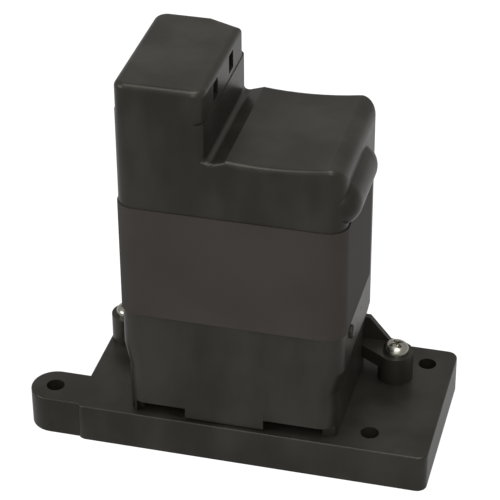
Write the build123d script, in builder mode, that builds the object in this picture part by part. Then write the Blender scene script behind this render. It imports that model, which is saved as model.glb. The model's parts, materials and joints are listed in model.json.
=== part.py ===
"""Bilge pump float switch: a magnetic float in a vented chamber beside a sealed electronics bay.

Millimetres, +Z up. The front is towards -Y, and the origin is at the middle of the underside.
"""
from build123d import *
import os

os.makedirs("parts", exist_ok=True)

# Base plate
base_length = 88.0
base_depth = 45.0
base_thickness = 10.0
base_corner = 2.5
base_edge_round = 0.5
ear_reach = 13.3          # how far the mounting ear stands out to the left
ear_width = 12.2
ear_recess = 0.9          # ear front behind the plate front
mount_hole_radius = 2.25
mount_spacing = 80.0      # left ear hole to front right hole
rear_hole_inset = (6.8, 6.85)
mount_boss_radius = 5.0
deck_thickness = 3.0
skirt_wall = 2.4
rib_thickness = 1.5
cells = (8, 4)

# Housing
body_length = 54.45
body_depth = 37.4
body_setback = 1.2        # body front behind the plate front
body_right_margin = 21.3  # plate showing to the right of the body
corner_radius = 4.5
wall = 2.2
side_wall = 2.8
partition = 2.2
plinth_inset = 1.2
plinth_height = 13.0
flare_height = 6.0
chimney_length = 22.1
chimney_top = 93.0
chimney_corner = 2.2
bay_edge_height = 84.4    # top of the bay where the saddle starts
bay_roof = 81.0
saddle_sag = 0.8
saddle_rise = 0.9
shoulder_radius = 4.0
valley_drop = 1.5
valley_width = 4.6
roof_edge_round = 1.3
inlet_height = 3.3
inlet_gap = 0.5
inlet_tongue = (-9.3, 10.3)
inlet_rib = (-22.4, -21.7)

# Side bulge above the label
bulge_radius = 5.75
bulge_proud = 2.85
bulge_height = 74.5
bulge_span = (-15.0, 1.0)

# Vent cover
cover_height = 8.1
cover_inset = 0.15
cover_side_inset = 0.55
cover_wall = 1.6
cover_roof = 1.6
cover_corner = 3.2
cover_cut = (8.0, 3.4)    # rear right corner cut away, along X and Y
cover_cut_round = 1.5
cover_edge_round = 1.6
cover_fit = 0.15
collar_height = 3.0
collar_wall = 1.5
neck_height = 4.0         # narrower mouth of the chimney below its top
window_width = 3.8
window_height = 4.6
window_sill = 1.5
window_places = (-10.6, 3.0)

# Lugs and the screws that hold the housing down
lug_offset = 7.5          # screw axis from the body side
lug_setback = 7.2         # lug middle ahead of the body back
lug_radius = 4.4
lug_top = 17.6
lug_thickness = 3.6
lug_root_setback = 6.5
lug_back_margin = 0.2
gusset_thickness = 1.6
gusset_height = 6.2
gusset_reach = 5.2
gusset_setback = 3.5
screw_radius = 1.75
screw_clearance = 0.15
screw_length = 11.5
screw_head_radius = 3.2
screw_head_height = 2.4
pilot_margin = 0.5

# Label
label_bottom = 39.5
label_top = 69.0
label_thickness = 0.3
label_back = 9.0

# Float and its guide
rod_radius = 2.0
rod_top = 69.0
rod_socket_depth = 7.8
rod_boss_radius = 4.5
rod_boss_top = 12.2
clip_radius = 3.3
clip_thickness = 0.8
groove_depth = 0.5
clip_height = 65.0
float_clearance = 0.8
float_running = 0.3
float_rest_gap = 0.3
float_height = 24.0
float_travel = 28.0
float_wall = 1.2
float_corner = 2.5
float_cap_thickness = 1.5
magnet_size = (3.0, 10.0, 5.0)
magnet_drop = 6.0         # float top to the magnet's middle

# Electronics bay
bay_corner = 2.0
bay_ledge = 1.5
bay_ledge_height = 26.0
bay_ledge_thickness = 2.0
bay_cover_thickness = 2.0
sealant_thickness = 3.5
board_gap = 2.0
board_thickness = 1.6
board_margin = 4.1        # board edge to the front and rear walls
board_height = 46.0
board_bottom = 30.0
standoff_radius = 2.3
standoff_inset = 2.2
board_screw_radius = 1.0
board_screw_grip = 1.2
board_screw_head = (1.9, 1.4)
sensor_size = (1.7, 4.0, 3.0)
sensor_heights = (34.0, 56.0)
relay_size = (15.4, 15.5, 19.0)
capacitor_radius = 4.0
capacitor_length = 12.0
chip_size = (3.4, 6.4, 9.5)
block_size = (9.0, 12.0, 11.4)
block_pitch = 3.4
block_entry = (1.3, 6.0)
block_screw = (1.1, 0.8)
suppressor_radius = 3.5
suppressor_thickness = 2.6

# Cable outlet and fill plug
cable_radius = 2.75
outlet_x = 12.0
outlet_z = 60.0
gland_neck_radius = 4.6
gland_flange_radius = 6.0
gland_inner_flange = 1.5
gland_outer_flange = 1.8
gland_nose = 3.4
gland_nose_radius = 4.2
plug_radius = 1.2
plug_head_radius = 1.7
plug_head_height = 0.9
plug_y = -11.7
plug_z = 36.4

# Places worked out from the sizes above
total_length = base_length + ear_reach
base_right = total_length / 2
base_left = base_right - base_length
base_front = -base_depth / 2
base_back = base_depth / 2
base_mid = (base_left + base_right) / 2
ear_y = base_front + ear_recess + ear_width / 2
ear_x = base_left - ear_reach + ear_width / 2
mount_holes = [
    (ear_x, ear_y),
    (ear_x + mount_spacing, ear_y),
    (base_right - rear_hole_inset[0], base_back - rear_hole_inset[1]),
]

body_right = base_right - body_right_margin
body_left = body_right - body_length
body_front = base_front + body_setback
body_back = body_front + body_depth
body_x = (body_left + body_right) / 2
body_y = (body_front + body_back) / 2
inner_front = body_front + wall
inner_back = body_back - wall
inner_depth = inner_back - inner_front
plinth_length = body_length - 2 * plinth_inset
plinth_top = base_thickness + plinth_height
flare_top = plinth_top + flare_height
chimney_right = body_left + chimney_length

chamber_left = body_left + side_wall
chamber_right = chimney_right - partition
chamber_length = chamber_right - chamber_left
chamber_x = (chamber_left + chamber_right) / 2
bay_left = chimney_right
bay_right = body_right - side_wall
bay_length = bay_right - bay_left
bay_x = (bay_left + bay_right) / 2

lug_places = [(body_left - lug_offset, -1), (body_right + lug_offset, 1)]
lug_bottom = lug_top - lug_thickness
lug_back = body_back - lug_back_margin
lug_y = body_back - lug_setback
lug_front = body_back - lug_root_setback
gusset_y = body_back - gusset_setback

float_bottom = rod_boss_top + float_rest_gap
float_top = float_bottom + float_height
float_length = chamber_length - 2 * float_clearance
float_depth = inner_depth - 2 * float_clearance
magnet_z = float_top - magnet_drop

board_left = bay_left + board_gap
board_face = board_left + board_thickness
board_front = inner_front + board_margin
board_back = inner_back - board_margin
board_z = board_bottom + board_height / 2
board_top = board_bottom + board_height
low_screw = (board_back - standoff_inset, board_bottom + standoff_inset)
high_screw = (board_front + standoff_inset, board_top - standoff_inset)
standoffs = [
    low_screw,
    high_screw,
    (board_front + standoff_inset, board_bottom + standoff_inset),
    (board_back - standoff_inset, board_top - standoff_inset),
]


def side_plane(x):
    """Plane across X at x, whose sketch axes are Y and Z."""
    return Plane(origin=(x, 0, 0), x_dir=(0, 1, 0), z_dir=(1, 0, 0))


def rear_plane(y):
    """Plane across Y at y, facing the back, whose sketch axes are -X and Z."""
    return Plane(origin=(0, y, 0), x_dir=(-1, 0, 0), z_dir=(0, 1, 0))


def front_plane(y):
    """Plane across Y at y, facing the front, whose sketch axes are X and Z."""
    return Plane(origin=(0, y, 0), x_dir=(1, 0, 0), z_dir=(0, -1, 0))


def body_outline(length, outward=0.0):
    """Draw the body's rounded plan outline in the open sketch."""
    with Locations((body_x, body_y)):
        RectangleRounded(length + 2 * outward, body_depth + 2 * outward, corner_radius + outward)


def cover_outline(inward):
    """Draw the vent cover's plan outline, moved inward, in the open sketch."""
    left = body_left + cover_side_inset + inward
    right = chimney_right - cover_inset - inward
    front = body_front + inward
    back = body_back - inward
    with BuildLine() as edge:
        Polyline(
            (left, front),
            (right, front),
            (right, back - cover_cut[1]),
            (right - cover_cut[0], back),
            (left, back),
            close=True,
        )
    make_face(edge.edges())
    square = vertices().group_by(Axis.X)[0] + vertices().filter_by_position(Axis.Y, front, front)
    square_corner = max(cover_corner - inward, 0.8)
    fillet(list(dict.fromkeys(square)), square_corner)


def lug_outline(x, side):
    """Draw one lug: a round boss and the web that joins it to the body."""
    root = x - side * (lug_offset + plinth_inset + 0.6)
    with Locations((x, lug_y)):
        Circle(lug_radius)
    with BuildLine() as edge:
        Polyline(
            (root, lug_front),
            (x - side * lug_radius * 0.3, lug_y - lug_radius * 0.95),
            (x + side * lug_radius * 0.3, lug_y + lug_radius * 0.95),
            (root, lug_back),
            close=True,
        )
    make_face(edge.edges())


# Base plate: a deck with a ribbed underside, an ear, and bosses for every screw
with BuildPart() as base_plate:
    with BuildSketch() as plate_outline:
        with Locations((base_mid, 0)):
            RectangleRounded(base_length, base_depth, base_corner)
        with Locations((ear_x, ear_y)):
            Circle(ear_width / 2)
        with Locations(((ear_x + base_left + base_corner) / 2, ear_y)):
            Rectangle(base_left + base_corner - ear_x, ear_width)
    extrude(amount=base_thickness)
    fillet(base_plate.faces().sort_by(Axis.Z)[-1].edges(), base_edge_round)
    pitch_x = (base_length - 2 * skirt_wall + rib_thickness) / cells[0]
    pitch_y = (base_depth - 2 * skirt_wall + rib_thickness) / cells[1]
    with BuildSketch():
        with Locations((base_mid, 0)):
            with GridLocations(pitch_x, pitch_y, cells[0], cells[1]):
                RectangleRounded(pitch_x - rib_thickness, pitch_y - rib_thickness, 1.0)
    extrude(amount=base_thickness - deck_thickness, mode=Mode.SUBTRACT)
    with BuildSketch():
        with Locations(*mount_holes):
            Circle(mount_boss_radius)
        with Locations(*[(x, lug_y) for x, side in lug_places]):
            Circle(lug_radius)
        with Locations((chamber_x, body_y)):
            Circle(rod_boss_radius)
    extrude(amount=base_thickness - deck_thickness)
    with BuildSketch(Plane.XY.offset(base_thickness - deck_thickness)):
        with Locations(*[(x, lug_y) for x, side in lug_places]):
            Circle(lug_radius)
    extrude(amount=lug_bottom - base_thickness + deck_thickness)
    with BuildSketch(Plane.XY.offset(base_thickness - deck_thickness)):
        with Locations((chamber_x, body_y)):
            Circle(rod_boss_radius)
    extrude(amount=rod_boss_top - base_thickness + deck_thickness)
    with Locations(*[(x, y, base_thickness) for x, y in mount_holes]):
        Hole(mount_hole_radius)
    with Locations(*[(x, lug_y, lug_bottom) for x, side in lug_places]):
        Hole(screw_radius, depth=screw_length - lug_thickness + pilot_margin)
    with Locations((chamber_x, body_y, rod_boss_top)):
        Hole(rod_radius, depth=rod_socket_depth)
base_plate.part.label = "base_plate"
export_step(base_plate.part, "parts/base_plate.step")

# Housing: float chamber and chimney on the left, electronics bay on the right
with BuildPart() as housing:
    with BuildSketch(Plane.XY.offset(base_thickness)):
        body_outline(plinth_length)
    extrude(amount=plinth_height)
    with BuildSketch(Plane.XY.offset(plinth_top)):
        body_outline(plinth_length)
    with BuildSketch(Plane.XY.offset(flare_top)):
        body_outline(body_length)
    loft()
    with BuildSketch(Plane.XY.offset(flare_top)):
        body_outline(body_length)
    extrude(amount=chimney_top - flare_top)
    # Saddle-shaped roof of the bay, cut down beside the chimney
    with BuildSketch(front_plane(body_front)):
        with BuildLine():
            valley = (chimney_right, bay_edge_height - valley_drop)
            crest = (chimney_right + valley_width, bay_edge_height)
            shoulder = (body_right - shoulder_radius, bay_edge_height + saddle_rise)
            middle = ((crest[0] + shoulder[0]) / 2, bay_edge_height + saddle_rise / 2 - saddle_sag)
            side = (body_right, shoulder[1] - shoulder_radius)
            Line(valley, crest)
            ThreePointArc(crest, middle, shoulder)
            RadiusArc(shoulder, side, shoulder_radius)
            Polyline(
                side,
                (body_right + wall, side[1]),
                (body_right + wall, chimney_top + wall),
                (chimney_right, chimney_top + wall),
                valley,
            )
        make_face()
    extrude(amount=-body_depth, mode=Mode.SUBTRACT)
    chimney_edges = (
        housing.edges()
        .filter_by(Axis.Z)
        .filter_by_position(Axis.X, chimney_right - 0.01, chimney_right + 0.01)
    )
    fillet(chimney_edges, chimney_corner)
    roof_faces = housing.faces().filter_by(
        lambda face: face.center().X > chimney_right and bay_roof < face.center().Z < shoulder[1]
    )
    roof_rim = roof_faces.edges().filter_by(
        lambda edge: abs(edge.center().Y - body_y) > body_depth / 2 - corner_radius
    )
    fillet(roof_rim, roof_edge_round)
    # Bulge on the right side, above the label
    with BuildSketch(Plane.XY.offset(bulge_height)):
        with Locations((body_right + bulge_proud - bulge_radius, sum(bulge_span) / 2)):
            SlotCenterToCenter(bulge_span[1] - bulge_span[0], 2 * bulge_radius, rotation=90)
            with Locations((-bulge_radius / 2, 0)):
                Rectangle(bulge_radius, 3 * body_depth, mode=Mode.SUBTRACT)
    revolve(
        axis=Axis((body_right + bulge_proud - bulge_radius, 0, bulge_height), (0, 1, 0)),
        revolution_arc=360,
    )
    # Collar that carries the vent cover
    with BuildSketch(Plane.XY.offset(chimney_top)):
        cover_outline(cover_wall + cover_fit)
    extrude(amount=collar_height)
    # Lugs and gussets
    with BuildSketch(Plane.XY.offset(lug_bottom)):
        for x, side in lug_places:
            lug_outline(x, side)
    extrude(amount=lug_thickness)
    with BuildSketch(front_plane(gusset_y)):
        for x, side in lug_places:
            root = x - side * lug_offset
            with BuildLine():
                Polyline(
                    (root - side * (plinth_inset + 0.6), lug_top),
                    (root + side * gusset_reach, lug_top),
                    (root, lug_top + gusset_height),
                    (root - side * (plinth_inset + 0.6), lug_top + gusset_height),
                    close=True,
                )
            make_face()
    extrude(amount=-gusset_thickness)
    # Float chamber, open below and through a narrower neck and the collar
    with BuildSketch(Plane.XY.offset(base_thickness)):
        with Locations((chamber_x, body_y)):
            RectangleRounded(chamber_length, inner_depth, bay_corner)
    extrude(amount=chimney_top - neck_height - base_thickness, mode=Mode.SUBTRACT)
    with BuildSketch(Plane.XY.offset(chimney_top - neck_height)):
        cover_outline(cover_wall + cover_fit + collar_wall)
    extrude(amount=neck_height + collar_height, mode=Mode.SUBTRACT)
    # Electronics bay, with a ledge that the bay cover seats against
    with BuildSketch(Plane.XY.offset(base_thickness)):
        with Locations((bay_x, body_y)):
            RectangleRounded(bay_length, inner_depth, bay_corner)
    extrude(amount=bay_ledge_height - base_thickness, mode=Mode.SUBTRACT)
    with BuildSketch(Plane.XY.offset(bay_ledge_height)):
        with Locations((bay_x, body_y)):
            Rectangle(bay_length - 2 * bay_ledge, inner_depth - 2 * bay_ledge)
    extrude(amount=bay_ledge_thickness, mode=Mode.SUBTRACT)
    with BuildSketch(Plane.XY.offset(bay_ledge_height + bay_ledge_thickness)):
        with Locations((bay_x, body_y)):
            RectangleRounded(bay_length, inner_depth, bay_corner)
    extrude(amount=bay_roof - bay_ledge_height - bay_ledge_thickness, mode=Mode.SUBTRACT)
    # Standoffs for the circuit board
    with BuildSketch(side_plane(bay_left)):
        with Locations(*standoffs):
            Circle(standoff_radius)
    extrude(amount=board_gap)
    with BuildSketch(side_plane(board_left)):
        with Locations(low_screw, high_screw):
            Circle(board_screw_radius)
    extrude(amount=-(board_gap + board_screw_grip), mode=Mode.SUBTRACT)
    # Water inlets along the front foot, the cable outlet, and the fill hole
    with BuildSketch(Plane.XY.offset(base_thickness)):
        for low, high in [
            (body_left - wall, inlet_rib[0]),
            (inlet_rib[1], inlet_tongue[0]),
            (inlet_tongue[1], body_right + wall),
        ]:
            with Locations(((low + high) / 2, body_front)):
                Rectangle(high - low, 2 * wall)
    extrude(amount=inlet_height, mode=Mode.SUBTRACT)
    with BuildSketch(Plane.XY.offset(base_thickness)):
        with Locations((sum(inlet_tongue) / 2, body_front)):
            Rectangle(inlet_tongue[1] - inlet_tongue[0], 2 * wall)
    extrude(amount=inlet_gap, mode=Mode.SUBTRACT)
    with BuildSketch(rear_plane(body_back)):
        with Locations((-outlet_x, outlet_z)):
            Circle(gland_neck_radius)
    extrude(amount=-wall, mode=Mode.SUBTRACT)
    with BuildSketch(side_plane(body_right)):
        with Locations((plug_y, plug_z)):
            Circle(plug_radius)
    extrude(amount=-side_wall, mode=Mode.SUBTRACT)
    with Locations(*[(x, lug_y, lug_top) for x, side in lug_places]):
        Hole(screw_radius + screw_clearance, depth=lug_thickness)
housing.part.label = "housing"
export_step(housing.part, "parts/housing.step")

# Vent cover: a lidded skirt over the chimney collar, with two windows in each side
with BuildPart() as vent_cover:
    with BuildSketch(Plane.XY.offset(chimney_top)):
        cover_outline(0)
    extrude(amount=cover_height)
    fillet(vent_cover.faces().sort_by(Axis.Z)[-1].edges(), cover_edge_round)
    with BuildSketch(Plane.XY.offset(chimney_top)):
        cover_outline(cover_wall)
    extrude(amount=cover_height - cover_roof, mode=Mode.SUBTRACT)
    with BuildSketch(side_plane(body_left - wall)):
        with Locations(*[(y, chimney_top + window_sill + window_height / 2) for y in window_places]):
            RectangleRounded(window_width, window_height, 0.4)
    extrude(amount=chimney_length + 2 * wall, mode=Mode.SUBTRACT)
vent_cover.part.label = "vent_cover"
export_step(vent_cover.part, "parts/vent_cover.step")

# Label wrapped round the front and both front corners
with BuildPart() as label_band:
    with BuildSketch(Plane.XY.offset(label_bottom)):
        body_outline(body_length, label_thickness)
        with Locations((body_x, body_y)):
            RectangleRounded(body_length, body_depth, corner_radius, mode=Mode.SUBTRACT)
        with Locations((body_x, label_back + body_depth / 2)):
            Rectangle(2 * body_length, body_depth, mode=Mode.SUBTRACT)
    extrude(amount=label_top - label_bottom)
label_band.part.label = "label_band"
export_step(label_band.part, "parts/label_band.step")

# Pan head screws that hold the housing on the base plate
with BuildPart() as housing_screws:
    for x, side in lug_places:
        with BuildSketch(Plane.XY.offset(lug_top)):
            with Locations((x, lug_y)):
                Circle(screw_head_radius)
        head = extrude(amount=screw_head_height)
        fillet(head.faces().sort_by(Axis.Z)[-1].edges(), screw_head_height * 0.5)
        with BuildSketch(Plane.XY.offset(lug_top + screw_head_height)):
            with Locations((x, lug_y)):
                Rectangle(screw_head_radius * 1.1, 0.9)
                Rectangle(0.9, screw_head_radius * 1.1)
        extrude(amount=-screw_head_height * 0.6, mode=Mode.SUBTRACT)
        with BuildSketch(Plane.XY.offset(lug_top)):
            with Locations((x, lug_y)):
                Circle(screw_radius)
        extrude(amount=-screw_length)
housing_screws.part.label = "housing_screws"
export_step(housing_screws.part, "parts/housing_screws.step")

# Plug in the fill hole of the bay
with BuildPart() as fill_plug:
    with BuildSketch(side_plane(body_right)):
        with Locations((plug_y, plug_z)):
            Circle(plug_radius)
    extrude(amount=-side_wall)
    with BuildSketch(side_plane(body_right)):
        with Locations((plug_y, plug_z)):
            Circle(plug_head_radius)
    extrude(amount=plug_head_height)
    fillet(fill_plug.faces().sort_by(Axis.X)[-1].edges(), plug_head_height * 0.7)
fill_plug.part.label = "fill_plug"
export_step(fill_plug.part, "parts/fill_plug.step")

# Rubber gland in the rear wall
with BuildPart() as cable_gland:
    with BuildSketch(rear_plane(inner_back)):
        with Locations((-outlet_x, outlet_z)):
            Circle(gland_flange_radius)
    extrude(amount=-gland_inner_flange)
    with BuildSketch(rear_plane(inner_back)):
        with Locations((-outlet_x, outlet_z)):
            Circle(gland_neck_radius)
    extrude(amount=wall)
    with BuildSketch(rear_plane(body_back)):
        with Locations((-outlet_x, outlet_z)):
            Circle(gland_flange_radius)
    extrude(amount=gland_outer_flange)
    with BuildSketch(rear_plane(body_back + gland_outer_flange)):
        with Locations((-outlet_x, outlet_z)):
            Circle(gland_flange_radius)
    with BuildSketch(rear_plane(body_back + gland_outer_flange + gland_nose)):
        with Locations((-outlet_x, outlet_z)):
            Circle(gland_nose_radius)
    loft()
    with BuildSketch(rear_plane(inner_back - gland_inner_flange)):
        with Locations((-outlet_x, outlet_z)):
            Circle(cable_radius)
    extrude(amount=gland_inner_flange + wall + gland_outer_flange + gland_nose, mode=Mode.SUBTRACT)
cable_gland.part.label = "cable_gland"
export_step(cable_gland.part, "parts/cable_gland.step")

# Stainless rod that guides the float, with a groove for its clip
with BuildPart() as guide_rod:
    with BuildSketch(Plane.XY.offset(rod_boss_top - rod_socket_depth)):
        with Locations((chamber_x, body_y)):
            Circle(rod_radius)
    extrude(amount=rod_top - rod_boss_top + rod_socket_depth)
    chamfer(guide_rod.faces().sort_by(Axis.Z)[-1].edges(), groove_depth)
    with BuildSketch(Plane.XY.offset(clip_height)):
        with Locations((chamber_x, body_y)):
            Circle(rod_radius + 1)
            Circle(rod_radius - groove_depth, mode=Mode.SUBTRACT)
    extrude(amount=clip_thickness, mode=Mode.SUBTRACT)
guide_rod.part.label = "guide_rod"
export_step(guide_rod.part, "parts/guide_rod.step")

# Open ring clip that stops the float at the top of its travel
with BuildPart() as rod_clip:
    with BuildSketch(Plane.XY.offset(clip_height)):
        with Locations((chamber_x, body_y)):
            Circle(clip_radius)
            Circle(rod_radius - groove_depth, mode=Mode.SUBTRACT)
        with Locations((chamber_x, body_y - clip_radius / 2)):
            Rectangle(2 * (rod_radius - groove_depth), clip_radius + 1, mode=Mode.SUBTRACT)
    extrude(amount=clip_thickness)
rod_clip.part.label = "rod_clip"
export_step(rod_clip.part, "parts/rod_clip.step")

# Hollow float, closed below by its own cap, with a magnet in the side next to the bay
float_right = chamber_x + float_length / 2
magnet_x = float_right - magnet_size[0] / 2
with BuildPart() as float_shell:
    with BuildSketch(Plane.XY.offset(float_bottom)):
        with Locations((chamber_x, body_y)):
            RectangleRounded(float_length, float_depth, float_corner)
    extrude(amount=float_height)
    fillet(float_shell.faces().sort_by(Axis.Z)[-1].edges(), float_wall * 0.6)
    with BuildSketch(Plane.XY.offset(float_bottom)):
        with Locations((chamber_x, body_y)):
            RectangleRounded(
                float_length - 2 * float_wall, float_depth - 2 * float_wall, float_corner - float_wall
            )
    extrude(amount=float_height - float_wall, mode=Mode.SUBTRACT)
    with BuildSketch(Plane.XY.offset(float_bottom + float_cap_thickness)):
        with Locations((chamber_x, body_y)):
            Circle(rod_radius + float_running + float_wall)
    extrude(amount=float_height - float_cap_thickness - float_wall / 2)
    with Locations((magnet_x - float_wall / 2 - 0.2, body_y, magnet_z)):
        Box(magnet_size[0] + float_wall - 0.4, magnet_size[1] + 2 * float_wall, magnet_size[2] + 2 * float_wall)
    with Locations((magnet_x, body_y, magnet_z)):
        Box(*magnet_size, mode=Mode.SUBTRACT)
    with BuildSketch(Plane.XY.offset(float_bottom)):
        with Locations((chamber_x, body_y)):
            Circle(rod_radius + float_running)
    extrude(amount=float_height, mode=Mode.SUBTRACT)
float_shell.part.label = "float_shell"
export_step(float_shell.part, "parts/float_shell.step")

with BuildPart() as float_cap:
    with BuildSketch(Plane.XY.offset(float_bottom)):
        with Locations((chamber_x, body_y)):
            RectangleRounded(
                float_length - 2 * float_wall, float_depth - 2 * float_wall, float_corner - float_wall
            )
            Circle(rod_radius + float_running, mode=Mode.SUBTRACT)
    extrude(amount=float_cap_thickness)
float_cap.part.label = "float_cap"
export_step(float_cap.part, "parts/float_cap.step")

with BuildPart() as float_magnet:
    with Locations((magnet_x, body_y, magnet_z)):
        Box(*magnet_size)
float_magnet.part.label = "float_magnet"
export_step(float_magnet.part, "parts/float_magnet.step")

# Plate and poured resin that close the bay from below
with BuildPart() as bay_cover:
    with BuildSketch(Plane.XY.offset(bay_ledge_height - bay_cover_thickness)):
        with Locations((bay_x, body_y)):
            RectangleRounded(bay_length, inner_depth, bay_corner)
    extrude(amount=bay_cover_thickness)
bay_cover.part.label = "bay_cover"
export_step(bay_cover.part, "parts/bay_cover.step")

with BuildPart() as bay_sealant:
    with BuildSketch(Plane.XY.offset(bay_ledge_height - bay_cover_thickness - sealant_thickness)):
        with Locations((bay_x, body_y)):
            RectangleRounded(bay_length, inner_depth, bay_corner)
    extrude(amount=sealant_thickness)
bay_sealant.part.label = "bay_sealant"
export_step(bay_sealant.part, "parts/bay_sealant.step")

# Circuit board against the partition, with the parts it carries
with BuildPart() as circuit_board:
    with BuildSketch(side_plane(board_left)):
        with Locations((body_y, board_z)):
            Rectangle(board_back - board_front, board_height)
        with Locations(low_screw, high_screw):
            Circle(board_screw_radius + screw_clearance, mode=Mode.SUBTRACT)
    extrude(amount=board_thickness)
circuit_board.part.label = "circuit_board"
export_step(circuit_board.part, "parts/circuit_board.step")

with BuildPart() as board_screws:
    with BuildSketch(side_plane(board_face)):
        with Locations(low_screw, high_screw):
            Circle(board_screw_head[0])
    extrude(amount=board_screw_head[1])
    with BuildSketch(side_plane(board_face)):
        with Locations(low_screw, high_screw):
            Circle(board_screw_radius)
    extrude(amount=-(board_thickness + board_gap + board_screw_grip))
    with BuildSketch(side_plane(board_face + board_screw_head[1])):
        with Locations(low_screw, high_screw):
            Rectangle(board_screw_head[0] * 1.3, 0.5)
    extrude(amount=-board_screw_head[1] / 2, mode=Mode.SUBTRACT)
board_screws.part.label = "board_screws"
export_step(board_screws.part, "parts/board_screws.step")

with BuildPart() as level_sensors:
    with Locations(*[(board_left - sensor_size[0] / 2, body_y, z) for z in sensor_heights]):
        Box(*sensor_size)
level_sensors.part.label = "level_sensors"
export_step(level_sensors.part, "parts/level_sensors.step")

relay_y = board_front + relay_size[1] / 2 + 1.0
relay_z = board_bottom + relay_size[2] / 2 + 4.5
with BuildPart() as relay:
    with Locations((board_face + relay_size[0] / 2, relay_y, relay_z)):
        Box(*relay_size)
    fillet(relay.edges().filter_by(Axis.X), 0.8)
    fillet(relay.faces().sort_by(Axis.X)[-1].edges(), 0.5)
relay.part.label = "relay"
export_step(relay.part, "parts/relay.step")

block_y = board_back - block_size[1] / 2 - 1.3
with BuildPart() as terminal_block:
    with Locations((board_face + block_size[0] / 2, block_y, outlet_z)):
        Box(*block_size)
    with BuildSketch(rear_plane(block_y + block_size[1] / 2)):
        with Locations((-(board_face + block_size[0] * 0.45), outlet_z)):
            with GridLocations(1, block_pitch, 1, 3):
                Circle(block_entry[0])
    extrude(amount=-block_entry[1], mode=Mode.SUBTRACT)
    with BuildSketch(side_plane(board_face + block_size[0])):
        with Locations((block_y, outlet_z)):
            with GridLocations(1, block_pitch, 1, 3):
                Circle(block_screw[0])
    extrude(amount=-block_screw[1], mode=Mode.SUBTRACT)
terminal_block.part.label = "terminal_block"
export_step(terminal_block.part, "parts/terminal_block.step")

with BuildPart() as terminal_screws:
    with BuildSketch(side_plane(board_face + block_size[0])):
        with Locations((block_y, outlet_z)):
            with GridLocations(1, block_pitch, 1, 3):
                Circle(block_screw[0])
    extrude(amount=-block_screw[1])
    with BuildSketch(side_plane(board_face + block_size[0])):
        with Locations((block_y, outlet_z)):
            with GridLocations(1, block_pitch, 1, 3):
                Rectangle(block_screw[0] * 1.6, 0.4)
    extrude(amount=-block_screw[1] / 2, mode=Mode.SUBTRACT)
terminal_screws.part.label = "terminal_screws"
export_step(terminal_screws.part, "parts/terminal_screws.step")

capacitor_y = board_front + capacitor_radius + 2.0
capacitor_z = board_top - capacitor_radius - 7.0
with BuildPart() as capacitor:
    with BuildSketch(side_plane(board_face)):
        with Locations((capacitor_y, capacitor_z)):
            Circle(capacitor_radius)
    extrude(amount=capacitor_length)
    fillet(capacitor.faces().sort_by(Axis.X)[-1].edges(), 0.5)
capacitor.part.label = "capacitor"
export_step(capacitor.part, "parts/capacitor.step")

chip_y = board_back - chip_size[1] / 2 - 1.2
chip_z = board_bottom + chip_size[2] / 2 + 8.0
with BuildPart() as controller_chip:
    with Locations((board_face + chip_size[0] / 2, chip_y, chip_z)):
        Box(*chip_size)
controller_chip.part.label = "controller_chip"
export_step(controller_chip.part, "parts/controller_chip.step")

suppressor_z = board_top - suppressor_radius - 1.0
with BuildPart() as surge_suppressor:
    with BuildSketch(rear_plane(body_y + suppressor_thickness / 2)):
        with Locations((-(board_face + suppressor_radius + 0.5), suppressor_z)):
            Circle(suppressor_radius)
        with Locations((-(board_face + suppressor_radius / 2), suppressor_z)):
            Rectangle(suppressor_radius, suppressor_radius)
    extrude(amount=-suppressor_thickness)
surge_suppressor.part.label = "surge_suppressor"
export_step(surge_suppressor.part, "parts/surge_suppressor.step")
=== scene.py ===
"""Float switch for a bilge pump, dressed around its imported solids.

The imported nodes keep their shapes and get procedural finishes. The screws are worked out here as
numpy surfaces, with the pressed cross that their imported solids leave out.
"""
import json
import logging
import math
from dataclasses import dataclass
from enum import Enum

import bpy
import numpy as np
from mathutils import Matrix, Vector


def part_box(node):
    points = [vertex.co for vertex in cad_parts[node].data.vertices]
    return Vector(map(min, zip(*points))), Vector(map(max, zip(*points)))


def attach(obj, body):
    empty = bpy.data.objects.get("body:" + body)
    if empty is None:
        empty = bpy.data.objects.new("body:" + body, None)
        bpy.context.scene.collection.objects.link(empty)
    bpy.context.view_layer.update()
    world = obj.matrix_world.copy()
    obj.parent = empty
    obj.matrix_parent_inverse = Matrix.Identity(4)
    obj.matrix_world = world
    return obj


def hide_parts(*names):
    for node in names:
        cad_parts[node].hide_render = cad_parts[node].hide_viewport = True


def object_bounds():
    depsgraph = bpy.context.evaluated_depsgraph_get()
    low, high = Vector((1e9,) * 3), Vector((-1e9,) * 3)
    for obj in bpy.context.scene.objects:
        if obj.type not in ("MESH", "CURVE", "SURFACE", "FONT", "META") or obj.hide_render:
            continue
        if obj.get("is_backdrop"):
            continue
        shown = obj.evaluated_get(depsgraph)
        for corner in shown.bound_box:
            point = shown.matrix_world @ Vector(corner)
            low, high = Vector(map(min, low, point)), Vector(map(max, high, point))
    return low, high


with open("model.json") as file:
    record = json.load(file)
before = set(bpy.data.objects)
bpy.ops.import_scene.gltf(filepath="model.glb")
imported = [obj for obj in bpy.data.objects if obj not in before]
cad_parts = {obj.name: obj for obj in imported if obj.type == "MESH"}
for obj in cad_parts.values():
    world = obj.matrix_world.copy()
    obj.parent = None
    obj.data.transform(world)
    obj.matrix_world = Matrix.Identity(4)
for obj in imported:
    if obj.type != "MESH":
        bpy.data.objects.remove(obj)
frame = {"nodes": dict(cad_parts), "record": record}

LOG = logging.getLogger("float_switch")
MM = 0.001
ROOT = "switch"

Number = float | int
Colour = tuple[float, float, float]
Triple = tuple[float, float, float]
Band = tuple[float, float]


# ---------------------------------------------------------------------------------------------
# Shader maths


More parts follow.
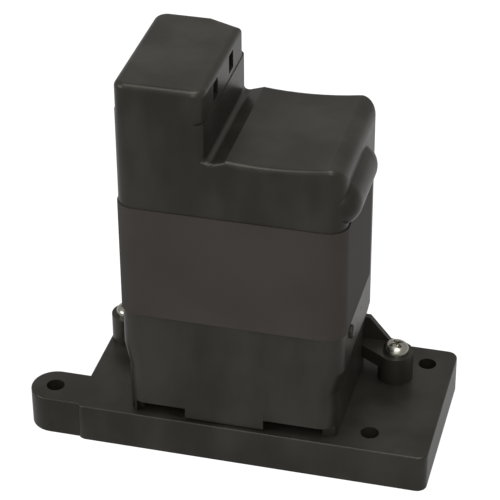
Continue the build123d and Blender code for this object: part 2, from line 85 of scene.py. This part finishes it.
class Signal:
    """A number socket that can be used in Python arithmetic, adding one Math node per operation."""

    def __init__(self, recipe: "Recipe", socket: bpy.types.NodeSocket) -> None:
        """Wrap a socket.

        Args:
            recipe: The recipe that owns the node tree.
            socket: The output socket that carries the number.
        """
        self.recipe = recipe
        self.socket = socket

    def _math(self, operation: str, *values: "Signal | Number") -> "Signal":
        """Add a Math node and return its result."""
        made = self.recipe.node("ShaderNodeMath", {"operation": operation}, dict(enumerate(values)))
        return Signal(self.recipe, made.outputs[0])

    def __add__(self, other: "Signal | Number") -> "Signal":
        """Sum."""
        return self._math("ADD", self, other)

    def __radd__(self, other: Number) -> "Signal":
        """Sum with a number on the left."""
        return self._math("ADD", other, self)

    def __sub__(self, other: "Signal | Number") -> "Signal":
        """Difference."""
        return self._math("SUBTRACT", self, other)

    def __rsub__(self, other: Number) -> "Signal":
        """A number less this signal."""
        return self._math("SUBTRACT", other, self)

    def __mul__(self, other: "Signal | Number") -> "Signal":
        """Product."""
        return self._math("MULTIPLY", self, other)

    def __rmul__(self, other: Number) -> "Signal":
        """Product with a number on the left."""
        return self._math("MULTIPLY", other, self)

    def clamped(self) -> "Signal":
        """Limit to the range 0 to 1."""
        made = self.recipe.node("ShaderNodeMath", {"operation": "ADD", "use_clamp": True}, {0: self, 1: 0.0})
        return Signal(self.recipe, made.outputs[0])

    def sine(self) -> "Signal":
        """Sine of the signal, in radians."""
        return self._math("SINE", self)

    def between(self, low: Number, high: Number) -> "Signal":
        """Map a range smoothly on to 0 to 1.

        Args:
            low: Input that gives 0.
            high: Input that gives 1, which may be below low.

        Returns:
            The mapped signal.
        """
        made = self.recipe.node(
            "ShaderNodeMapRange",
            {"interpolation_type": "SMOOTHSTEP"},
            {"Value": self, "From Min": low, "From Max": high, "To Min": 0.0, "To Max": 1.0},
        )
        return Signal(self.recipe, made.outputs["Result"])


class Recipe:
    """One procedural material while its nodes are being added."""

    def __init__(self, name: str) -> None:
        """Start an empty material that has only a Principled shader and an output.

        Args:
            name: Name of the material.
        """
        self.material = bpy.data.materials.new(name)
        self.material.use_nodes = True
        self.tree = self.material.node_tree
        self.tree.nodes.clear()
        self.shader = self.node("ShaderNodeBsdfPrincipled", {}, {})
        self.output = self.node("ShaderNodeOutputMaterial", {}, {"Surface": self.shader.outputs[0]})

    def node(self, kind: str, settings: dict[str, object], inputs: dict[object, object]) -> bpy.types.Node:
        """Add a node.

        Args:
            kind: The node's type name.
            settings: Properties to set first.
            inputs: Values, signals or sockets for the node's inputs, by name or index.

        Returns:
            The new node.
        """
        made = self.tree.nodes.new(kind)
        for name, value in settings.items():
            setattr(made, name, value)
        for key, value in inputs.items():
            if isinstance(value, Signal):
                self.tree.links.new(value.socket, made.inputs[key])
            elif isinstance(value, bpy.types.NodeSocket):
                self.tree.links.new(value, made.inputs[key])
            else:
                made.inputs[key].default_value = value
        return made

    def position(self) -> bpy.types.NodeSocket:
        """Object coordinates."""
        return self.node("ShaderNodeTexCoord", {}, {}).outputs["Object"]

    def axis(self, index: int) -> Signal:
        """One of the object coordinates, 0 to 2 for X to Z, in metres."""
        split = self.node("ShaderNodeSeparateXYZ", {}, {0: self.position()})
        return Signal(self, split.outputs[index])

    def stretched(self, factor: Triple) -> bpy.types.NodeSocket:
        """Object coordinates multiplied by a factor on each axis."""
        mapped = self.node("ShaderNodeMapping", {}, {"Vector": self.position(), "Scale": factor})
        return mapped.outputs[0]

    def noise(
        self, grain: float, detail: float = 2.0, roughness: float = 0.5, stretch: Triple = (1.0, 1.0, 1.0)
    ) -> Signal:
        """Noise with features of a given size.

        Args:
            grain: Size of the features, in metres.
            detail: Number of finer octaves.
            roughness: Weight of the finer octaves.
            stretch: Factor on each axis, below 1 where the features run long.

        Returns:
            Noise of about 0 to 1.
        """
        made = self.node(
            "ShaderNodeTexNoise",
            {},
            {
                "Vector": self.stretched(stretch),
                "Scale": 1.0 / grain,
                "Detail": detail,
                "Roughness": roughness,
            },
        )
        return Signal(self, made.outputs[0])

    def cells(self, grain: float) -> Signal:
        """Distance to the nearest of a scatter of points that lie about grain metres apart."""
        made = self.node("ShaderNodeTexVoronoi", {}, {"Vector": self.position(), "Scale": 1.0 / grain})
        return Signal(self, made.outputs["Distance"])

    def blend(self, amount: Signal, first: object, second: object) -> bpy.types.NodeSocket:
        """Mix two colours.

        Args:
            amount: 0 for the first colour, 1 for the second.
            first: A colour or a colour socket.
            second: A colour or a colour socket.

        Returns:
            The mixed colour.
        """
        made = self.node("ShaderNodeMix", {"data_type": "RGBA"}, {0: amount})
        for index, value in ((6, first), (7, second)):
            if isinstance(value, bpy.types.NodeSocket):
                self.tree.links.new(value, made.inputs[index])
            else:
                made.inputs[index].default_value = (*value, 1.0)
        return made.outputs[2]

    def bump(
        self, height: Signal, depth: float, onto: bpy.types.NodeSocket | None = None
    ) -> bpy.types.NodeSocket:
        """Turn a height signal into a normal.

        Args:
            height: Height from 0 to 1.
            depth: Height that 1 stands for, in metres.
            onto: A normal to add to, if any.

        Returns:
            The bumped normal.
        """
        inputs: dict[object, object] = {"Height": height, "Distance": depth, "Strength": 1.0}
        if onto is not None:
            inputs["Normal"] = onto
        return self.node("ShaderNodeBump", {}, inputs).outputs[0]

    def set(self, **values: object) -> None:
        """Set or link inputs of the Principled shader, with underscores for spaces in their names."""
        for key, value in values.items():
            socket = self.shader.inputs[key.replace("_", " ")]
            if isinstance(value, Signal):
                self.tree.links.new(value.socket, socket)
            elif isinstance(value, bpy.types.NodeSocket):
                self.tree.links.new(value, socket)
            else:
                socket.default_value = value


# ---------------------------------------------------------------------------------------------
# Finishes


def shifted(colour: Colour, factor: float, lift: float = 0.0) -> Colour:
    """A colour times a factor plus a lift, with each part at most 1."""
    return tuple(min(1.0, part * factor + lift) for part in colour)


class Sheen(Enum):
    """How polished the mould was, as the roughness of what came out of it."""

    POLISHED = 0.24
    SATIN = 0.34
    MATT = 0.55


@dataclass(frozen=True)
class MouldedPlastic:
    """Injection moulded plastic: faint flow marks, a fine skin, handling scuffs and some dust."""

    name: str
    colour: Colour
    sheen: Sheen = Sheen.SATIN
    flow: float = 14 * MM
    flow_stretch: Triple = (1.0, 1.0, 0.45)
    flow_band: Band = (0.35, 0.70)
    skin: float = 0.35 * MM
    skin_depth: float = 0.004 * MM
    wave_depth: float = 0.05 * MM
    scuff: float = 2.2 * MM
    scuff_stretch: Triple = (0.35, 1.0, 1.6)
    scuff_band: Band = (0.56, 0.72)
    speck: float = 1.5 * MM
    speck_band: Band = (0.10, 0.02)
    speck_patch: float = 9 * MM
    speck_patch_band: Band = (0.50, 0.66)
    dust: float = 0.25
    specular: float = 0.35
    tint: Colour = (1.0, 0.95, 0.86)

    def build(self) -> bpy.types.Material:
        """Make the material."""
        recipe = Recipe(self.name)
        flow = recipe.noise(self.flow, 3.0, 0.55, self.flow_stretch)
        fine = recipe.noise(self.skin)
        scuff = recipe.noise(self.scuff, 5.0, 0.7, self.scuff_stretch).between(*self.scuff_band)
        patches = recipe.noise(self.speck_patch).between(*self.speck_patch_band)
        specks = recipe.cells(self.speck).between(*self.speck_band) * patches
        tone = recipe.blend(flow.between(*self.flow_band), self.colour, shifted(self.colour, 1.7, 0.004))
        tone = recipe.blend((specks * self.dust).clamped(), tone, shifted(self.colour, 2.0, 0.05))
        recipe.set(
            Base_Color=tone,
            Roughness=(flow * 0.10 + scuff * 0.10 + specks * 0.2 + (self.sheen.value - 0.05)).clamped(),
            IOR=1.5,
            Specular_IOR_Level=self.specular,
            Specular_Tint=(*self.tint, 1.0),
            Normal=recipe.bump(fine, self.skin_depth, recipe.bump(flow, self.wave_depth)),
        )
        return recipe.material


@dataclass(frozen=True)
class PrintedFilm:
    """Satin label film with a very fine tooth and slight unevenness where it was smoothed down."""

    name: str
    colour: Colour
    roughness: float = 0.66
    specular: float = 0.16
    patch: float = 18 * MM
    patch_band: Band = (0.35, 0.65)
    tooth: float = 0.16 * MM
    tooth_depth: float = 0.002 * MM
    ripple: float = 5 * MM
    ripple_depth: float = 0.012 * MM

    def build(self) -> bpy.types.Material:
        """Make the material."""
        recipe = Recipe(self.name)
        patch = recipe.noise(self.patch)
        tooth = recipe.noise(self.tooth, 1.0)
        ripple = recipe.noise(self.ripple, 1.0)
        recipe.set(
            Base_Color=recipe.blend(patch.between(*self.patch_band), self.colour, shifted(self.colour, 1.12)),
            Roughness=(patch * 0.08 + tooth * 0.06 + (self.roughness - 0.07)).clamped(),
            Specular_IOR_Level=self.specular,
            Normal=recipe.bump(tooth, self.tooth_depth, recipe.bump(ripple, self.ripple_depth)),
        )
        return recipe.material


@dataclass(frozen=True)
class BrightMetal:
    """Bare metal with turning or drawing marks, stains and small dents."""

    name: str
    colour: Colour
    roughness: float = 0.20
    grain: Triple = (1.0, 1.0, 0.08)
    stain: float = 0.35

    def build(self) -> bpy.types.Material:
        """Make the material."""
        recipe = Recipe(self.name)
        marks = recipe.noise(0.10 * MM, 3.0, 0.6, self.grain)
        stains = recipe.noise(1.6 * MM, 4.0, 0.6).between(0.50, 0.75)
        dull = shifted(self.colour, 0.55)
        recipe.set(
            Base_Color=recipe.blend((stains * self.stain).clamped(), self.colour, dull),
            Metallic=1.0,
            Roughness=(marks * 0.12 + stains * 0.22 + (self.roughness - 0.06)).clamped(),
            Normal=recipe.bump(marks, 0.004 * MM, recipe.bump(stains, 0.01 * MM)),
        )
        return recipe.material


@dataclass(frozen=True)
class Rubber:
    """Matt rubber with a pale bloom in patches."""

    name: str
    colour: Colour
    roughness: float = 0.7

    def build(self) -> bpy.types.Material:
        """Make the material."""
        recipe = Recipe(self.name)
        bloom = recipe.noise(3 * MM, 4.0, 0.6).between(0.45, 0.75)
        pores = recipe.noise(0.25 * MM, 2.0)
        pale = shifted(self.colour, 1.8, 0.02)
        recipe.set(
            Base_Color=recipe.blend(bloom * 0.5, self.colour, pale),
            Roughness=(pores * 0.12 + bloom * 0.1 + (self.roughness - 0.06)).clamped(),
            Normal=recipe.bump(pores, 0.01 * MM),
        )
        return recipe.material


@dataclass(frozen=True)
class Laminate:
    """Circuit board: solder mask over a glass weave, with copper tracks that show through it."""

    name: str
    mask: Colour
    track: Colour
    row_pitch: float = 2.54 * MM

    def build(self) -> bpy.types.Material:
        """Make the material."""
        recipe = Recipe(self.name)
        rows = (recipe.axis(2) * (2 * math.pi / self.row_pitch)).sine()
        lanes = rows * recipe.noise(6 * MM, 0.0).between(0.40, 0.55)
        weave = recipe.noise(0.4 * MM, 1.0)
        recipe.set(
            Base_Color=recipe.blend(lanes.between(0.55, 0.75), self.mask, self.track),
            Roughness=weave * 0.12 + 0.3,
            Coat_Weight=0.2,
            Normal=recipe.bump(lanes, 0.02 * MM, recipe.bump(weave, 0.005 * MM)),
        )
        return recipe.material


# ---------------------------------------------------------------------------------------------
# Meshes from numpy surfaces


@dataclass
class Surface:
    """A grid of points that becomes a mesh, with optional wrap and pole closing."""

    name: str
    points: np.ndarray
    wrap_columns: bool = False
    close_first: bool = False
    close_last: bool = False

    def faces(self) -> np.ndarray:
        """Quads between neighbouring rows and columns, as rows of four indices."""
        rows, columns = self.points.shape[:2]
        index = np.arange(rows * columns).reshape(rows, columns)
        if self.wrap_columns:
            index = np.concatenate([index, index[:, :1]], axis=1)
        quads = np.stack([index[:-1, :-1], index[:-1, 1:], index[1:, 1:], index[1:, :-1]], axis=-1)
        return quads.reshape(-1, 4)

    def build(self) -> bpy.types.Object:
        """Make the mesh object, with its ends closed by single faces where asked."""
        rows, columns = self.points.shape[:2]
        polygons: list[list[int]] = self.faces().tolist()
        if self.close_first:
            polygons.append(list(range(columns))[::-1])
        if self.close_last:
            polygons.append([(rows - 1) * columns + step for step in range(columns)])
        mesh = bpy.data.meshes.new(self.name)
        mesh.from_pydata(self.points.reshape(-1, 3).tolist(), [], polygons)
        mesh.validate()
        mesh.update()
        made = bpy.data.objects.new(self.name, mesh)
        bpy.context.scene.collection.objects.link(made)
        return made


def shade(piece: bpy.types.Object, smooth_angle: float = math.radians(35)) -> None:
    """Smooth a mesh's faces, keeping edges sharper than an angle.

    Args:
        piece: The mesh object.
        smooth_angle: Largest angle that is smoothed, in radians.
    """
    mesh = piece.data
    mesh.polygons.foreach_set("use_smooth", np.ones(len(mesh.polygons), dtype=bool))
    mesh.set_sharp_from_angle(angle=smooth_angle)


def dress(piece: bpy.types.Object, material: bpy.types.Material) -> None:
    """Give an object one material in every slot."""
    slots = piece.material_slots
    if not slots:
        piece.data.materials.append(material)
    for slot in slots:
        slot.material = material


def join(name: str, pieces: list[bpy.types.Object]) -> bpy.types.Object:
    """Join meshes into one object of the first's frame.

    Args:
        name: Name of the result.
        pieces: Mesh objects at the origin.

    Returns:
        The joined object.
    """
    for other in bpy.context.selected_objects:
        other.select_set(False)
    for piece in pieces:
        piece.select_set(True)
    bpy.context.view_layer.objects.active = pieces[0]
    bpy.ops.object.join()
    pieces[0].name = name
    pieces[0].data.name = name
    return pieces[0]


@dataclass
class Piece:
    """A finished extra piece, with the body it rides on and the name of a material slot, which place does not
    read.
    """

    made: bpy.types.Object
    body: str
    slot: str
    stands_for: tuple[str, ...] = ()

    def place(self, material: bpy.types.Material) -> None:
        """Dress the piece, ride it on its body and hide the nodes it stands for."""
        shade(self.made)
        dress(self.made, material)
        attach(self.made, self.body)
        if self.stands_for:
            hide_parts(*self.stands_for)
        triangles = sum(len(polygon.vertices) - 2 for polygon in self.made.data.polygons)
        LOG.info("%s rides on %s with %d triangles", self.made.name, self.body, triangles)


# ---------------------------------------------------------------------------------------------
# The sub-assemblies


@dataclass
class CrossHeadScrews:
    """The two pan head screws that hold the housing down, turned and with a pressed cross."""

    head_radius: float = 3.2 * MM
    head_height: float = 2.4 * MM
    shank_radius: float = 1.7 * MM
    rim_height: float = 0.75 * MM
    recess_length: float = 1.75 * MM
    recess_width: float = 0.42 * MM
    recess_depth: float = 1.35 * MM
    rim_power: float = 2.4
    first_turn: float = 0.35
    turn_step: float = 0.4
    ring_spacing: float = 0.8
    least_radius: float = 0.001 * MM
    rings: int = 72
    spokes: int = 192

    def seats(self) -> list[np.ndarray]:
        """Bottom middle of each screw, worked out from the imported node's box."""
        low, high = (np.array(corner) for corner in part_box("housing_screws"))
        y = (low[1] + high[1]) / 2
        return [np.array([x, y, low[2]]) for x in (low[0] + self.head_radius, high[0] - self.head_radius)]

    def one(self, index: int, seat: np.ndarray) -> bpy.types.Object:
        """Build one screw.

        The head is a surface of revolution: height = rim + crown * sqrt(1 - (r / R)^rim_power), and
        the cross is taken out of it as depth * s(width - min(|x|, |y|)) * s(length - r), where s is a
        smooth step. Below the head the profile is a plain shank.

        Args:
            index: Number in the piece's name.
            seat: Bottom middle of the shank.

        Returns:
            The mesh object.
        """
        low, high = (np.array(corner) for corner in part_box("housing_screws"))
        shank = high[2] - low[2] - self.head_height
        turn = self.first_turn + self.turn_step * index
        angle = np.linspace(0.0, 2 * math.pi, self.spokes, endpoint=False)
        spread = np.linspace(0.0, 1.0, self.rings) ** self.ring_spacing
        radius = np.maximum(spread[:, None] * self.head_radius, self.least_radius) * np.ones_like(angle)
        crown = self.head_height - self.rim_height
        dome = np.sqrt(np.clip(1 - (radius / self.head_radius) ** self.rim_power, 0, 1))
        arm = np.minimum(np.abs(radius * np.cos(angle)), np.abs(radius * np.sin(angle)))
        inside = self.step((self.recess_width - arm) / (0.35 * self.recess_width))
        inside *= self.step((self.recess_length - radius) / (0.3 * self.recess_length))
        floor = np.clip(1 - 0.45 * (radius / self.recess_length), 0, 1)
        head = self.rim_height + crown * dome - self.recess_depth * inside * floor
        top = np.stack([radius * np.cos(angle + turn), radius * np.sin(angle + turn), head + shank], axis=-1)
        profile = np.array([
            (self.head_radius, shank),
            (self.shank_radius * 1.2, shank),
            (self.shank_radius, shank - 0.2 * MM),
            (self.shank_radius, 0.8 * MM),
            (self.shank_radius * 0.3, 0.0),
        ])
        reach, height = profile[:, :1], profile[:, 1:]
        around = [reach * np.cos(angle + turn), reach * np.sin(angle + turn), height * np.ones_like(angle)]
        points = np.concatenate([top, np.stack(around, axis=-1)]) + seat
        name = f"pan_screw_{index}"
        made = Surface(name, points, wrap_columns=True, close_first=True, close_last=True).build()
        made.data.flip_normals()
        return made

    @staticmethod
    def step(value: np.ndarray) -> np.ndarray:
        """Smooth step from 0 at -0.5 to 1 at 0.5."""
        t = np.clip(value + 0.5, 0, 1)
        return t * t * (3 - 2 * t)

    def build(self, finish: BrightMetal) -> None:
        """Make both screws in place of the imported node."""
        screws = [self.one(index, seat) for index, seat in enumerate(self.seats())]
        joined = join("pan_screws", screws)
        Piece(joined, ROOT, "stainless", ("housing_screws",)).place(finish.build())


# ---------------------------------------------------------------------------------------------
# Stage


@dataclass(frozen=True)
class SoftLamp:
    """A square area lamp that faces a point, in metres and watts."""

    name: str
    place: Triple
    aim: Triple
    width: float
    power: float

    def build(self) -> None:
        """Make the lamp."""
        light = bpy.data.lights.new(self.name, "AREA")
        light.shape = "RECTANGLE"
        light.size = self.width
        light.size_y = self.width
        light.energy = self.power
        made = bpy.data.objects.new(self.name, light)
        bpy.context.scene.collection.objects.link(made)
        made.location = self.place
        made.rotation_euler = (Vector(self.aim) - Vector(self.place)).to_track_quat("-Z", "Y").to_euler()


@dataclass
class Stage:
    """Pale floor, soft lamps and a white surround.

    The floor shows white to the camera with a share of its own shading, which keeps the shadow. In
    reflections it glows less in front of the object than behind it.
    """

    floor_size: float = 8.0
    floor_colour: Colour = (0.86, 0.86, 0.86)
    floor_roughness: float = 0.9
    surround: float = 0.45
    near_gloss: float = 0.50
    far_gloss: float = 0.72
    paper_glow: float = 1.12
    glow_share: float = 0.84
    lamps: tuple[SoftLamp, ...] = (
        SoftLamp("lamp_overhead", (0.05, -0.10, 1.00), (0.0, 0.0, 0.04), 0.7, 6.0),
        SoftLamp("lamp_left", (-0.85, -0.45, 0.65), (0.0, 0.0, 0.05), 0.5, 4.0),
        SoftLamp("lamp_front", (0.35, -0.95, 0.80), (0.0, 0.0, 0.05), 0.6, 3.5),
    )

    def build(self) -> None:
        """Make the floor, the lamps and the world."""
        self.floor()
        for lamp in self.lamps:
            lamp.build()
        self.world()

    def floor(self) -> None:
        """Make a large flat floor that shows white but keeps the object's shadow."""
        low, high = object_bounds()
        half = self.floor_size / 2
        sheet = np.array([[[-half, -half, 0], [half, -half, 0]], [[-half, half, 0], [half, half, 0]]])
        made = Surface("floor", sheet).build()
        recipe = Recipe("floor_paper")
        recipe.set(Base_Color=(*self.floor_colour, 1.0), Roughness=self.floor_roughness)
        path = recipe.node("ShaderNodeLightPath", {}, {})
        straight = Signal(recipe, path.outputs["Is Camera Ray"])
        straight = straight + Signal(recipe, path.outputs["Is Transmission Ray"])
        mirrored = Signal(recipe, path.outputs["Is Glossy Ray"])
        depth = recipe.axis(1).between(low[1], 2 * high[1] - low[1])
        gloss = self.mix(recipe, depth, self.glow(recipe, self.near_gloss), self.glow(recipe, self.far_gloss))
        shown = self.mix(recipe, straight.clamped(), gloss, self.glow(recipe, self.paper_glow))
        share = (straight * self.glow_share + mirrored).clamped()
        mix = recipe.node("ShaderNodeMixShader", {}, {0: share, 1: recipe.shader.outputs[0], 2: shown})
        recipe.tree.links.new(mix.outputs[0], recipe.output.inputs["Surface"])
        dress(made, recipe.material)
        made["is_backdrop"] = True

    @staticmethod
    def glow(recipe: Recipe, strength: float) -> bpy.types.NodeSocket:
        """White light of one strength, as a shader."""
        return recipe.node("ShaderNodeEmission", {}, {"Strength": strength}).outputs[0]

    @staticmethod
    def mix(
        recipe: Recipe, amount: Signal, first: bpy.types.NodeSocket, second: bpy.types.NodeSocket
    ) -> bpy.types.NodeSocket:
        """Mix two shaders, with 0 for the first and 1 for the second."""
        return recipe.node("ShaderNodeMixShader", {}, {0: amount, 1: first, 2: second}).outputs[0]

    def world(self) -> None:
        """Make an even grey surround that shows white to the camera."""
        world = bpy.data.worlds.new("surround")
        bpy.context.scene.world = world
        world.use_nodes = True
        tree = world.node_tree
        tree.nodes.clear()
        path = tree.nodes.new("ShaderNodeLightPath")
        plain = tree.nodes.new("ShaderNodeBackground")
        plain.inputs["Color"].default_value = (1, 1, 1, 1)
        plain.inputs["Strength"].default_value = self.surround
        white = tree.nodes.new("ShaderNodeBackground")
        white.inputs["Color"].default_value = (1, 1, 1, 1)
        white.inputs["Strength"].default_value = 1.0
        mix = tree.nodes.new("ShaderNodeMixShader")
        output = tree.nodes.new("ShaderNodeOutputWorld")
        tree.links.new(path.outputs["Is Camera Ray"], mix.inputs[0])
        tree.links.new(plain.outputs[0], mix.inputs[1])
        tree.links.new(white.outputs[0], mix.inputs[2])
        tree.links.new(mix.outputs[0], output.inputs["Surface"])


@dataclass
class Viewpoint:
    """Camera on a sphere about a target, turned a little about its own axis."""

    azimuth: float = 14.66
    elevation: float = 33.1
    roll: float = -0.42
    distance: float = 517.05 * MM
    target: Triple = (1.16 * MM, 2.5 * MM, 45.98 * MM)
    lens: float = 153.31
    sensor: float = 36.0
    nearest: float = 0.01

    def build(self) -> None:
        """Make the camera and set it as the scene's."""
        a, e, r = (math.radians(angle) for angle in (self.azimuth, self.elevation, self.roll))
        back = Vector((math.sin(a) * math.cos(e), -math.cos(a) * math.cos(e), math.sin(e)))
        right = Vector((math.cos(a), math.sin(a), 0.0))
        up = back.cross(right)
        turned_right = right * math.cos(r) + up * math.sin(r)
        turned_up = up * math.cos(r) - right * math.sin(r)
        camera = bpy.data.cameras.new("camera")
        camera.lens = self.lens
        camera.sensor_width = self.sensor
        camera.clip_start = self.nearest
        made = bpy.data.objects.new("camera", camera)
        bpy.context.scene.collection.objects.link(made)
        turn = Matrix((turned_right, turned_up, back)).transposed().to_4x4()
        made.matrix_world = Matrix.Translation(Vector(self.target) + back * self.distance) @ turn
        bpy.context.scene.camera = made
        LOG.info("camera at %s", [round(value, 4) for value in made.location])


# ---------------------------------------------------------------------------------------------


@dataclass
class FloatSwitch:
    """The whole object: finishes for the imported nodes, and the extra pieces."""

    black: MouldedPlastic = MouldedPlastic("black_plastic_finish", (0.0125, 0.0112, 0.0088))
    film: PrintedFilm = PrintedFilm("label_film_finish", (0.036, 0.031, 0.0275))
    steel: BrightMetal = BrightMetal("stainless_finish", (0.66, 0.64, 0.58))

    def dress_nodes(self) -> None:
        """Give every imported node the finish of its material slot."""
        finishes = {
            "black_plastic": self.black,
            "label_film": self.film,
            "stainless": self.steel,
            "rubber": Rubber("rubber_finish", (0.02, 0.02, 0.02)),
            "float_plastic": MouldedPlastic("float_finish", (0.60, 0.58, 0.50), Sheen.MATT),
            "magnet": BrightMetal("magnet_finish", (0.18, 0.18, 0.19), 0.5),
            "resin": MouldedPlastic("resin_finish", (0.012, 0.012, 0.016), Sheen.POLISHED),
            "board": Laminate("board_finish", (0.01, 0.10, 0.035), (0.03, 0.20, 0.07)),
            "component": MouldedPlastic("component_finish", (0.02, 0.02, 0.02), Sheen.MATT),
            "relay_case": MouldedPlastic("relay_finish", (0.02, 0.08, 0.30)),
            "can": BrightMetal("can_finish", (0.60, 0.61, 0.63), 0.3),
            "block_plastic": MouldedPlastic("block_finish", (0.02, 0.20, 0.06)),
            "suppressor": MouldedPlastic("suppressor_finish", (0.02, 0.07, 0.30)),
        }
        built = {slot: finish.build() for slot, finish in finishes.items()}
        for subpart in frame["record"]["subparts"]:
            node, slot = subpart["node"], subpart["material_slot"]
            dress(frame["nodes"][node], built[slot])
            LOG.info("%s takes the finish of slot %s", node, slot)

    def build(self) -> None:
        """Dress the nodes and add the extra pieces."""
        self.dress_nodes()
        CrossHeadScrews().build(BrightMetal("screw_finish", (0.40, 0.385, 0.33), 0.24))


def main() -> None:
    logging.basicConfig(level=logging.INFO, format="%(name)s: %(message)s")
    bpy.context.scene.view_settings.view_transform = "Standard"
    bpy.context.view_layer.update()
    Viewpoint().build()
    Stage().build()
    FloatSwitch().build()


if __name__ == "__main__":
    main()
